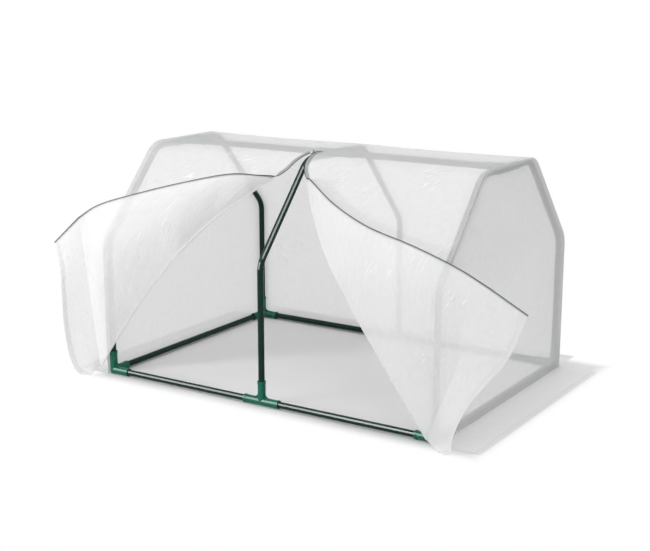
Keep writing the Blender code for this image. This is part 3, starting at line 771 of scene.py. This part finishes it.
for name, side in SIDES.items():
    rows = wall_rows(side)
    wall = cloth_object(f"end_wall_{name}_film", rows, FILM_WALL)
    ruffle(wall, rows, seed=3.0 + side, soft=0.0009, fine=0.0005, hold=hold_edges(rows))
    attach(wall, "house")
    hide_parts(f"end_wall_{name}")
print("end walls", len(rows), "x", len(rows[0]), "points each")

# %% Bind the end walls' edges
BINDING_WIDTH = 0.007
BINDING_LIFT = 0.0007
BINDING_SEAM = 0.7


def around(offset, side):
    """The outline of an end wall, taken in by the offset, from ground to ground."""
    line = [Vector((side * WALL_X, p.y, p.z)) for p in cover_line(CLOTH_OFF - offset)]
    return [point + Vector((0, 0, FILM)) if point.z == 0 else point for point in line]


for name, side in SIDES.items():
    out = Vector((side, 0, 0))
    outer, inner = around(FILM, side), around(BINDING_WIDTH, side)
    band = band_between(f"binding_{name}", outer, inner, out * BINDING_LIFT, FILM_WALL)
    seam = [(point + out * 2 * BINDING_LIFT, out) for point in around(BINDING_WIDTH * BINDING_SEAM, side)]
    trim = [band, stitch_row(f"binding_{name}_stitches", seam)]
    for piece in trim:
        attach(piece, "house")
    wall = bpy.data.objects[f"end_wall_{name}_film"]
print("bindings", BINDING_WIDTH, "m wide")

# %% [markdown]
# ## Ground skirts
# A strip of the same film lies on the ground along the ends and the back, to be weighed down with soil. It is
# almost flat: the outer edge, turned over and stitched, lifts a little here and there and catches the light.
# Its film is drawn nearly opaque and barely translucent, a painted lightening that makes the strip read
# brighter.

# %% Lay the skirts
SKIRT_WIDTH = 0.105
SKIRT_CLEAR = 0.0004
SKIRT_LIFT = 0.0004
SKIRT_ROWS = 14
WAVES_ALONG = 14
WAVES_ACROSS = 1.5
WAVE_BASE = 0.35
WAVE_SEED = 3.7
SKIRT_HEM_ROWS = 2
HEM_LIFT = 0.0004
HEM_SEAM = 0.8
UP = Vector((0, 0, 1))


def skirt_rows(start, along, out, length, seed):
    rows = []
    for w in fractions(0, 1, SKIRT_ROWS):
        row = []
        for u in fractions(0, 1, round(length / SHEET_STEP)):
            wave = noise.noise(Vector((u * length * WAVES_ALONG, seed, w * WAVES_ACROSS))) + WAVE_BASE
            rise = SKIRT_LIFT * max(0.0, wave) * w * w
            place = start + along * (u * length) + out * (w * SKIRT_WIDTH)
            row.append(place + Vector((0, 0, SKIRT_CLEAR + rise)))
        rows.append(row)
    return rows


half_y = FRAME_WIDTH / 2 + CLOTH_OFF
SKIRTS = {
    # name: (start, way along, way out, length)
    "left": ((-WALL_X - FILM, -half_y, 0), (0, 1, 0), (-1, 0, 0), 2 * half_y),
    "right": ((WALL_X + FILM, -half_y, 0), (0, 1, 0), (1, 0, 0), 2 * half_y),
    "rear": ((-WALL_X, half_y + FILM, 0), (1, 0, 0), (0, 1, 0), 2 * WALL_X),
}
for k, (name, (*lay, length)) in enumerate(SKIRTS.items()):
    rows = skirt_rows(*map(Vector, lay), length, k * WAVE_SEED)
    skirt = cloth_object(f"skirt_{name}_film", rows, FILM_GROUND_PAINTED_LIGHTER)
    near, far = rows[-1 - SKIRT_HEM_ROWS], rows[-1]
    hem = band_between(f"skirt_{name}_hem", near, far, UP * HEM_LIFT, FILM_GROUND_PAINTED_LIGHTER)
    seam = [(edge.lerp(inner, HEM_SEAM) + UP * HEM_LIFT, UP) for edge, inner in zip(far, near)]
    trim = [hem, stitch_row(f"skirt_{name}_stitches", seam)]
    for piece in (skirt, *trim):
        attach(piece, "house")
    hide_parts(f"ground_skirt_{name}")
    print("skirt", name, round(length, 3), "m long")

# %% [markdown]
# ## The front and its doors
# Each half of the front is one panel. Its outer part stays tight on the frame, and its inner part is folded
# back along a slant from the top of the zip to the foot of the end hoop. The fold is a soft roll, pressed
# flatter than the solid's. The free zip edge hangs in a long curve, which was read from the picture and is
# written as a few points: how far up the front, how far along the house, and how far the cloth stands off it.

# %% Write down the doors
FOLD_GAP = 0.0003
SOLID_ROLL = 0.008
ROLL_RADIUS = 0.0035
ROLL_TIP_RADIUS = 0.0025
TURN_DROP = 0.107
TURN_S = EDGE_S - TURN_DROP
BULGE_TILT = Vector((0, -0.95, 0.31))
BULGE_LEAD = 0.25
BULGE_RISE = 0.2
DOORS = {
    "left": {
        "side": -1,
        "creases": [(0.640, -0.150), (0.585, -0.330)],  # on the fixed front: way up, place along
        "door_creases": [(0.55, 0.35)],  # on the door: share of the way up, share of the way out
        "foot_out": 0.050,  # the fold's foot beyond the end hoop
        "turn_x": 0.065,  # the fold's top from the middle
        "root_x": (0.0385, 0.0246, 0.0125),  # the fixed edge above it
        "bow": (0.010, 0.015),  # of the fold, under and over the knee
        "fullness": 1.0,
        "foot_s": 0.022,
        "bulge": 0.055,
        "blend": (0.12, 0.497),  # where the cloth goes over from the house to the door
        "zip_edge": [
            (0.638, 1.118, 0.067), (0.698, 0.998, 0.080), (0.775, 0.774, 0.082),
            (0.860, 0.538, 0.073), (0.932, 0.306, 0.062), (0.965, 0.166, 0.040),
        ],
        "hem": [
            (0.002, 1.077, 0.037), (0.010, 1.149, 0.050), (0.083, 1.190, 0.058), (0.217, 1.205, 0.066),
            (0.367, 1.205, 0.069), (0.492, 1.217, 0.065), (0.577, 1.265, 0.056),
        ],
    },
    "right": {
        "side": 1,
        "creases": [(0.614, 0.118), (0.585, 0.205), (0.635, 0.095), (0.650, 0.367)],
        "door_creases": [(0.12, 0.80), (0.45, 0.62)],
        "foot_out": 0.0,
        "turn_x": 0.045,
        "root_x": (0.0219, 0.0126, 0.0105),
        "bow": (0.0, -0.010),
        "fullness": 1.5,
        "foot_s": 0.012,
        "bulge": 0.014,
        "blend": (0.10, 0.462),
        "zip_edge": [
            (0.620, 1.277, 0.019), (0.667, 1.101, 0.032), (0.728, 0.853, 0.038),
            (0.797, 0.559, 0.028), (0.887, 0.315, 0.022), (0.985, 0.128, 0.022),
        ],
        "hem": [
            (0.002, 1.077, 0.041), (0.010, 1.135, 0.045), (0.083, 1.147, 0.039), (0.193, 1.201, 0.028),
            (0.290, 1.284, 0.015), (0.388, 1.371, 0.003), (0.553, 1.449, -0.003),
        ],
    },
}
print("doors", sorted(DOORS), "turn of the zip edge at", round(TURN_S, 3), "m up the front")

# %% Curves for the doors


def curve_through(points, t):
    """A smooth curve through the points, t from 0 at the first to 1 at the last."""
    knots = [2 * points[0] - points[1]] + points + [2 * points[-1] - points[-2]]
    spans = len(points) - 1
    span = min(int(t * spans), spans - 1)
    u = t * spans - span
    p0, p1, p2, p3 = knots[span : span + 4]
    ends = p1 * (2 * u**3 - 3 * u**2 + 1) + p2 * (3 * u**2 - 2 * u**3)
    return ends + (p2 - p0) / 2 * (u**3 - 2 * u**2 + u) + (p3 - p1) / 2 * (u**3 - u**2)


def door_points(door, edge):
    half = door["side"] * FRAME_LENGTH / 2
    return [on_cover(up * TURN_S, out * half, off) for up, out, off in door[edge]]


def fold_x(door, s):
    """Distance of the fold from the middle: a straight slant that bows a little below and above the knee."""
    foot = FRAME_LENGTH / 2 + door["foot_out"]
    low, high = door["bow"]
    if s < KNEE_S:
        bow = low * sin(pi * max(s, 0.0) / KNEE_S)
    else:
        bow = high * sin(pi * min((s - KNEE_S) / (TURN_S - KNEE_S), 1.0))
    return foot + (door["turn_x"] - foot) * s / TURN_S + bow


ZIP_HALF_GAP = 0.0035
TAPE_WIDTH = 0.004


def root_x(door, s):
    """Distance from the middle of the fixed front's edge, between the turn and the roof."""
    top = ZIP_HALF_GAP + TAPE_WIDTH + FOLD_GAP
    edge = [Vector((x, 0)) for x in (door["turn_x"], *door["root_x"], top)]
    return curve_through(edge, (s - TURN_S) / (EDGE_S - TURN_S)).x


def roll_radius(s):
    taper = max(0.0, (s - KNEE_S) / (TURN_S - KNEE_S))
    return ROLL_RADIUS + (ROLL_TIP_RADIUS - ROLL_RADIUS) * taper


def roll_centre(door, s):
    x = fold_x(door, s) - (SOLID_ROLL - ROLL_RADIUS)
    return on_cover(s, door["side"] * x, 2 * FILM + FOLD_GAP + roll_radius(s) - settle(s, x))


print("fold of the left door at the ground", round(fold_x(DOORS["left"], 0), 3), "m from the middle")

# %% Rows of a door
ROLL_STEPS = 8
DOOR_COLUMNS = 56
DOOR_STEP = 0.006
PROBE = 0.002
PINCH_SHARE = 0.955
PINCH_OFF = 0.003
STRIP_COLUMNS = 60


def free_edge(door, v):
    """The zip edge of the door at share v of its height, drawn in to the fold where the two meet."""
    spans = len(door["zip_points"]) - 1
    if v < PINCH_SHARE:
        t = v / PINCH_SHARE * (spans - 1) / spans
    else:
        t = (spans - 1 + (v - PINCH_SHARE) / (1 - PINCH_SHARE)) / spans
    return curve_through(door["zip_points"], min(t, 1.0))


def door_row(door, s):
    """Round the roll at distance s up the fold, then out to the free zip edge."""
    v = (s - door["foot_s"]) / (TURN_S - door["foot_s"])
    outward = outward_at(s)
    centre = roll_centre(door, s)
    along = (roll_centre(door, s + PROBE) - roll_centre(door, s - PROBE)).normalized()
    inward = outward.cross(along).normalized()
    inward *= -1 if inward.x * door["side"] > 0 else 1
    radius = roll_radius(s)
    row = []
    for k in range(ROLL_STEPS):
        angle = pi * k / ROLL_STEPS
        row.append(centre + radius * (inward * sin(angle) - outward * cos(angle)))
    near = centre + outward * radius
    far = free_edge(door, v)
    swell = door["bulge"] * sin(pi * min(v + BULGE_LEAD, 1.0)) * sin(pi / 2 * min(v / BULGE_RISE, 1.0))
    for u in fractions(0, 1, DOOR_COLUMNS):
        row.append(near.lerp(far, u) + BULGE_TILT * swell * sin(pi * u) ** door["fullness"])
    return row


def hem_line(door, u):
    """One line along the ground strip, at share u of the way from its seam with the door to its hem."""
    seam = door_row(door, door["foot_s"])
    start, end = seam[ROLL_STEPS], seam[-1]
    shares = fractions(0, 1, STRIP_COLUMNS)
    return [start.lerp(end, w).lerp(curve_through(door["hem_points"], w), u) for w in shares]


for door in DOORS.values():
    pinch = on_cover(TURN_S + PINCH_OFF, door["side"] * (door["turn_x"] - PINCH_OFF), PINCH_OFF)
    door["zip_points"] = door_points(door, "zip_edge") + [pinch]
    door["hem_points"] = door_points(door, "hem")
print("a door row has", ROLL_STEPS + DOOR_COLUMNS + 1, "points")

# %% Sew the fixed part of the front
UNDER_ROLL = 0.006
ROLL_FADE = 0.06
START_INSIDE = 0.004
FRONT_COLUMNS = 80


def front_edge(door, s):
    """Inner edge of the fixed front: under the roll up to the turn, then in to the zip."""
    if s > TURN_S:
        return root_x(door, s)
    return fold_x(door, s) - UNDER_ROLL * min((TURN_S - s) / ROLL_FADE, 1.0)


def front_rows(door):
    """From the ground, or from where the fold has come inside the end wall, up to the roof."""
    foot_out = door["foot_out"]
    inside = (foot_out - CLOTH_OFF + START_INSIDE) / (FRAME_LENGTH / 2 + foot_out) * TURN_S
    first = max(FOOT_CLEAR, inside)
    rows = []
    for s in fractions(first, EDGE_S, round((EDGE_S - first) / SHEET_STEP)):
        inner = front_edge(door, s)
        places = [SHEET_X + (inner - SHEET_X) * u for u in fractions(0, 1, FRONT_COLUMNS)]
        rows.append([on_cover(s, door["side"] * x, -settle(s, x)) for x in places])
    return rows


for name, door in DOORS.items():
    rows = front_rows(door)
    front = cloth_object(f"front_{name}_film", rows, FILM_TIGHT)
    ruffle(front, rows, seed=11.0 + door["side"], soft=0.0009, fine=0.0007, hold=hold_edges(rows))
    mark_creases(front, [on_cover(s, x) for s, x in door["creases"]])
    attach(front, "house")
    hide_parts(f"front_sheet_{name}")
    print("front", name, len(rows), "x", len(rows[0]), "points")

# %% [markdown]
# ## Folding the doors back
# The lower flap turns on its fold and the upper part stays up by the zip, and yet it is one cloth. So the
# door is drawn as one sheet in its folded-back place, from the roll at the fold out to the free zip edge. A
# ground strip with a stitched hem is drawn along its foot.

# %% Hang the doors
FREE_OF_ROLL, FREE_OF_ZIP, FREE_OF_TOP, FREE_OF_FOOT = 10, 6, 12, 4


def hold_fold(rows):
    """Still at the roll and at the zip edge, free between them."""
    last_row, last_column = len(rows) - 1, len(rows[0]) - 1

    def hold(i, k):
        inner = smooth_step((k - ROLL_STEPS) / FREE_OF_ROLL)
        outer = smooth_step((last_column - k) / FREE_OF_ZIP)
        return inner * outer * smooth_step((last_row - i) / FREE_OF_TOP) * smooth_step(i / FREE_OF_FOOT)

    return hold


for name, door in DOORS.items():
    steps = round((TURN_S - door["foot_s"]) / DOOR_STEP)
    rows = door["rows"] = [door_row(door, s) for s in fractions(door["foot_s"], TURN_S, steps)]
    sheet = cloth_object(f"door_{name}_film", rows, FILM_DOOR)
    ruffle(sheet, rows, seed=21.0 + door["side"], soft=0.0035, fine=0.0008, hold=hold_fold(rows))
    shares = door["door_creases"]
    mark_creases(sheet, [rows[round(v * steps)][ROLL_STEPS + round(u * DOOR_COLUMNS)] for v, u in shares])
    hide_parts(f"door_flap_{name}", f"door_top_{name}")
    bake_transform(sheet)
    print("door", name, len(rows), "x", len(rows[0]), "points")

# %% Sew on the ground strips
STRIP_ROWS = 18
STRIP_HEM_ROWS = 3
STRIP_MIDDLE = STRIP_COLUMNS // 2


for name, door in DOORS.items():
    lines = door["strip"] = [hem_line(door, u) for u in fractions(0, 1, STRIP_ROWS)]
    strip = cloth_object(f"ground_strip_{name}_film", lines, FILM_DOOR)
    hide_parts(f"door_hem_{name}")
    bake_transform(strip)

    # the hem and its stitches
    near, far = lines[-1 - STRIP_HEM_ROWS], lines[-1]
    out = (far[STRIP_MIDDLE] - far[0]).cross(near[STRIP_MIDDLE] - far[STRIP_MIDDLE]).normalized()
    out *= -1 if out.y > 0 else 1
    hem = band_between(f"ground_strip_{name}_hem", near, far, out * HEM_LIFT, FILM_DOOR)
    seam = [(point + out * 2 * HEM_LIFT, out) for point in lines[-STRIP_HEM_ROWS]]
    trim = [hem, stitch_row(f"ground_strip_{name}_stitches", seam)]
    for piece in trim:
        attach(piece, f"door_hem_{name}")

for name in DOORS:
    sheet = bpy.data.objects[f"door_{name}_film"]
print("ground strips sewn")

# %% [markdown]
# ## The zip
# A thin tape with moulded teeth edges each door. At this distance it is a dark line, but close up the teeth
# show. It is sewn to the outer face, so it shows in full on the fixed part and lies behind the film where a
# door is folded over. A strip with small blocks for teeth is swept along the edge of the cloth, so that one
# function serves every stretch of it, also the short closed end on the roof.

# %% Zip helpers
TOOTH_PITCH = 0.0016
TOOTH_SIZE = (0.0010, 0.0016, 0.0013)
TAPE_ON_CLOTH = 0.0060
TAPE_ON_DOOR = 0.0022
TAPE_AT_TURN = 0.0016
TAPE_BEYOND = 0.0028
TAPE_HALF = 0.00035
TAPE_UNDER = 0.0008
TURN_OVER = 7
TURN_REACH = 0.022
SMOOTH_OVER = 5
TAPE_SIDES = [(0, 2), (2, 4), (4, 5), (5, 3), (3, 1), (1, 0)]
BOX_FACES = [(0, 1, 3, 2), (4, 6, 7, 5), (0, 4, 5, 1), (2, 3, 7, 6), (0, 2, 6, 4), (1, 5, 7, 3)]


def calmed(directions, reach):
    """Directions averaged with their neighbours, so that the tape twists over a short length."""
    found = []
    for k in range(len(directions)):
        near = directions[max(0, k - reach) : k + reach + 1]
        found.append(sum(near, Vector()).normalized())
    return found


def box_points(centre, along, across, up, sizes):
    a, b, c = along * sizes[0] / 2, across * sizes[1] / 2, up * sizes[2] / 2
    return [centre + i * a + j * b + k * c for i in (-1, 1) for j in (-1, 1) for k in (-1, 1)]


def smoothed(points, reach):
    """Points averaged with as many neighbours on both sides, so that the ends stay in place."""
    found = []
    for k in range(len(points)):
        near = min(reach, k, len(points) - 1 - k)
        window = points[k - near : k + near + 1]
        found.append(sum(window, Vector()) / len(window))
    return found


def zip_object(name, line, face, turn=None, width=TAPE_ON_CLOTH, reach=TURN_OVER):
    """Tape with teeth along a line of pairs: a point on the cloth's edge, and the way out from the cloth.

    The tape lies on the cloth's outer face, which is up (face 1) or down (face -1) as the line is followed.
    At the point where the edge turns over it narrows, and it stays narrow on the door that follows.
    """
    line = resampled(line, TOOTH_PITCH)
    outs = calmed([out for _, out in line], reach)
    edges = smoothed([edge for edge, _ in line], SMOOTH_OVER)
    last = len(edges) - 1
    at_turn = last + 1 if turn is None else min(range(last + 1), key=lambda k: (edges[k] - turn).length)
    points, faces, marks = [], [], []
    for k, edge in enumerate(edges):
        along = (edges[min(k + 1, last)] - edges[max(k - 1, 0)]).normalized()
        across = (outs[k] - along * outs[k].dot(along)).normalized()
        up = along.cross(across)
        clear = 1.0 if turn is None else smooth_step(((edge - turn).length - TOOTH_PITCH) / TURN_REACH)
        inner = -TAPE_AT_TURN - ((width if k < at_turn else TAPE_ON_DOOR) - TAPE_AT_TURN) * clear
        ring = len(points)
        under = face * TAPE_UNDER
        for out, low in ((inner, under), (0.0, under), (TAPE_BEYOND, 0.0)):
            points += [edge + across * out + up * (low + half) for half in (TAPE_HALF, -TAPE_HALF)]
        if k:
            faces += [(last_ring + n, ring + n, ring + m, last_ring + m) for n, m in TAPE_SIDES]
            marks += [0] * len(TAPE_SIDES)
        last_ring = ring
        tooth = len(points)
        points += box_points(edge + across * TAPE_BEYOND, along, across, up, TOOTH_SIZE)
        faces += [tuple(tooth + v for v in corners) for corners in BOX_FACES]
        marks += [1] * len(BOX_FACES)
    tape = mesh_object(name, [HOUSE + p for p in points], faces, TAPE, TEETH)
    tape.data.polygons.foreach_set("material_index", marks)
    return tape


print("teeth every", TOOTH_PITCH * 1000, "mm")

# %% Edge the doors
ROOT_LIFT = 0.0005
ROOT_STOP = 0.006
ROOT_STEPS = 40


def root_line(door):
    """From the apex down the fixed front's edge to just above the turn."""
    side = door["side"]
    ways = fractions(EDGE_S, TURN_S + ROOT_STOP, ROOT_STEPS)
    return [(on_cover(s, side * root_x(door, s), ROOT_LIFT), Vector((-side, 0, 0))) for s in ways]


def free_line(rows, back):
    """The free edge of a sheet, and the way out of it at each point, over so many points of the row."""
    return [(row[-1], (row[-1] - row[-1 - back]).normalized()) for row in rows]


for name, door in DOORS.items():
    turn = door["zip_points"][-1]
    line = root_line(door) + [(turn, outward_at(TURN_S))] + free_line(reversed(door["rows"][:-1]), 3)
    edge = zip_object(f"zip_{name}_edge", line, -door["side"], turn)
    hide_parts(f"zip_tape_{name}_root", f"zip_tape_{name}_top", f"zip_tape_{name}_door")
    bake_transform(edge)

    strip = zip_object(f"zip_{name}_strip", free_line(door["strip"], 2), -door["side"], width=TAPE_ON_DOOR)
    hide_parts(f"zip_tape_{name}_hem")
    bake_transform(strip)
print("zip edges sewn")

# %% Close the chain on the roof
CHAIN_LENGTH = 0.030
CHAIN_STEPS = 10
CHAIN_HALF = 0.0036
CHAIN_LIFT = 0.0012
SLIDER_LENGTH = 0.014

start = EDGE_S + SLIDER_LENGTH / 2 + FOLD_GAP
ways = fractions(start, start + CHAIN_LENGTH, CHAIN_STEPS)
for name, side in SIDES.items():
    line = [(on_cover(s, side * CHAIN_HALF, CHAIN_LIFT), Vector((-side, 0, 0))) for s in ways]
    half = zip_object(f"zip_chain_{name}", line, -side, reach=0)
    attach(half, "house")
    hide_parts("zip_chain_top")
print("closed chain", CHAIN_LENGTH, "m")

# %% [markdown]
# ## Sizes
# The dressed house has to keep the size of its frame. Both boxes are written down here, so that they can be
# compared after each run.

# %% Write the sizes and finish
VISUAL_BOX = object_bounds()
for label, box in (("solids", CAD_BOX), ("dressed", VISUAL_BOX)):
    print(label, [tuple(round(v, 4) for v in corner) for corner in box])
